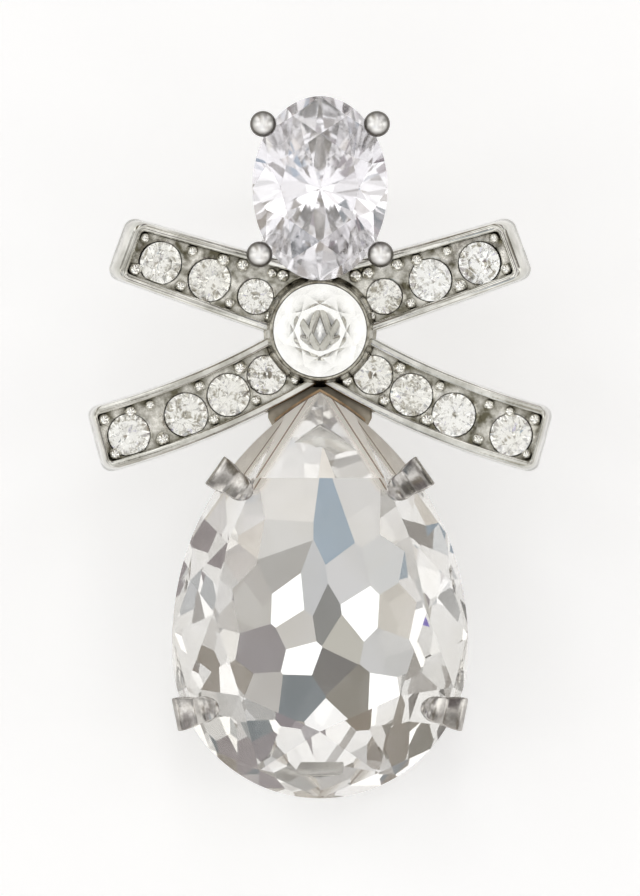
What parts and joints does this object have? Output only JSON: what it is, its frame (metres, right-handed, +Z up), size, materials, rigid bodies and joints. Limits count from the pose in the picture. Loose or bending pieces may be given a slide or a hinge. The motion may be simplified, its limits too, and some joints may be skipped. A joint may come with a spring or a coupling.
{
  "type": "bow stud earring",
  "caption": "Stud earring: an oval stone over a stone-set ribbon bow with a round stone on its knot, a pear-shaped stone below, and a straight post behind.",
  "frame": {"origin": "middle of the footprint, on the surface that the earring lies on", "axes": "+Z up from that surface; +X across the bow, to the right as its face is seen; +Y along the earring from the pear to the oval, whose end stands higher"},
  "size_m": [0.0206, 0.0296, 0.0164],
  "materials": {
    "plated_metal": "polished rhodium plating on cast brass",
    "post_steel": "drawn steel wire, satin",
    "crystal": "clear cut crystal with a silvered back",
    "zirconia": "clear cut zirconia, faintly lilac"
  },
  "bodies": {
    "root": {"bow_mount": "plated_metal", "ear_post": "post_steel", "pear_stone": "crystal", "oval_stone": "zirconia", "round_stone": "crystal"}
  },
  "joints": []
}
